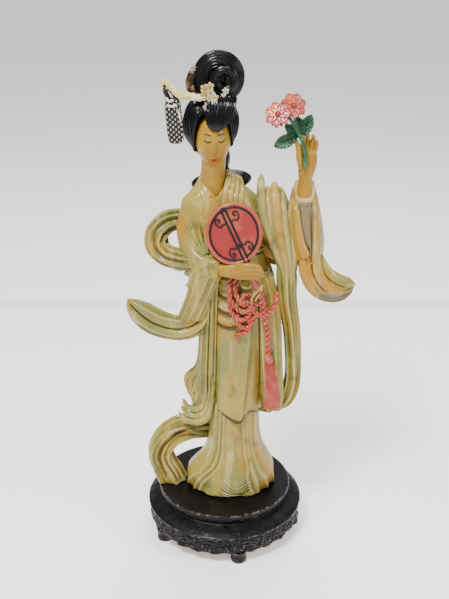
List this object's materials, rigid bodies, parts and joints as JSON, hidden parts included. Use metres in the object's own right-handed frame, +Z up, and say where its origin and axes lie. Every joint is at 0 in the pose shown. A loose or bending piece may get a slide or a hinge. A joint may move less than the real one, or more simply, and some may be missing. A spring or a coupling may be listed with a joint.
{
  "type": "robed lady figurine",
  "caption": "Standing robed lady figurine with a round fan, a raised flower and an upswept bun, on a round tiered carved stand.",
  "frame": {"origin": "centre of the stand's underside, on the plane of its feet", "axes": "+Z up, the lady faces -Y, +X to the side of her raised left hand"},
  "size_m": [0.1315, 0.0984, 0.2992],
  "materials": {
    "robe": "cast resin, cream and jade, glossy, streaked green and ochre",
    "robe_lining": "cast resin, darker green-grey in the folds",
    "robe_ochre": "cast resin with warm ochre wash",
    "skin": "painted resin, warm yellow ochre, satin",
    "hair": "black gloss paint over combed grooves",
    "pin": "painted resin, cream yellow",
    "lattice": "black and white lattice paint",
    "fan": "salmon pink paint, orange rim, black line drawing",
    "cord": "salmon pink paint",
    "petals": "pink paint with orange touches",
    "leaves": "dark green paint, lighter veins",
    "stand": "black lacquer, edges worn light",
    "peg": "plain steel pin"
  },
  "bodies": {
    "root": {"stand_peg": "peg", "neck_peg": "peg", "left_wrist_peg": "peg", "right_wrist_peg": "peg", "stand_top_disc": "stand", "stand_lower_tier": "stand", "stand_carved_band": "stand", "stand_feet": "stand", "head": "skin", "forelock": "hair", "hairpin": "pin", "hair_pendant": "lattice", "hair_blossoms": "pin", "bun_coil": "hair", "top_bun": "hair", "hair_cap": "hair", "fan_handle": "fan", "fan_disc": "fan", "right_hand": "skin", "flower_stem": "leaves", "left_hand": "skin", "front_blossom": "petals", "back_blossom": "petals", "large_leaf": "leaves", "small_leaf": "leaves", "fan_cord": "cord", "cord_bow": "cord", "tassel": "cord", "robe_bodice": "robe", "waist_sash": "robe_lining", "robe_skirt": "robe", "under_skirt": "robe", "nape_bun": "hair", "left_lapel": "robe", "right_lapel": "robe", "apron_panel": "robe", "side_panel": "robe", "pleated_panel": "robe_lining", "right_sleeve": "robe", "right_sleeve_drop": "robe", "right_trumpet_sleeve": "robe_lining", "left_cuff_sleeve": "robe_ochre", "left_upper_sleeve": "robe", "left_trumpet_sleeve": "robe_lining", "stole_fall": "robe_lining", "right_hanging_drape": "robe", "stole_folds": "robe", "stole_loop": "robe_lining", "train_loop": "robe_lining"}
  },
  "joints": []
}
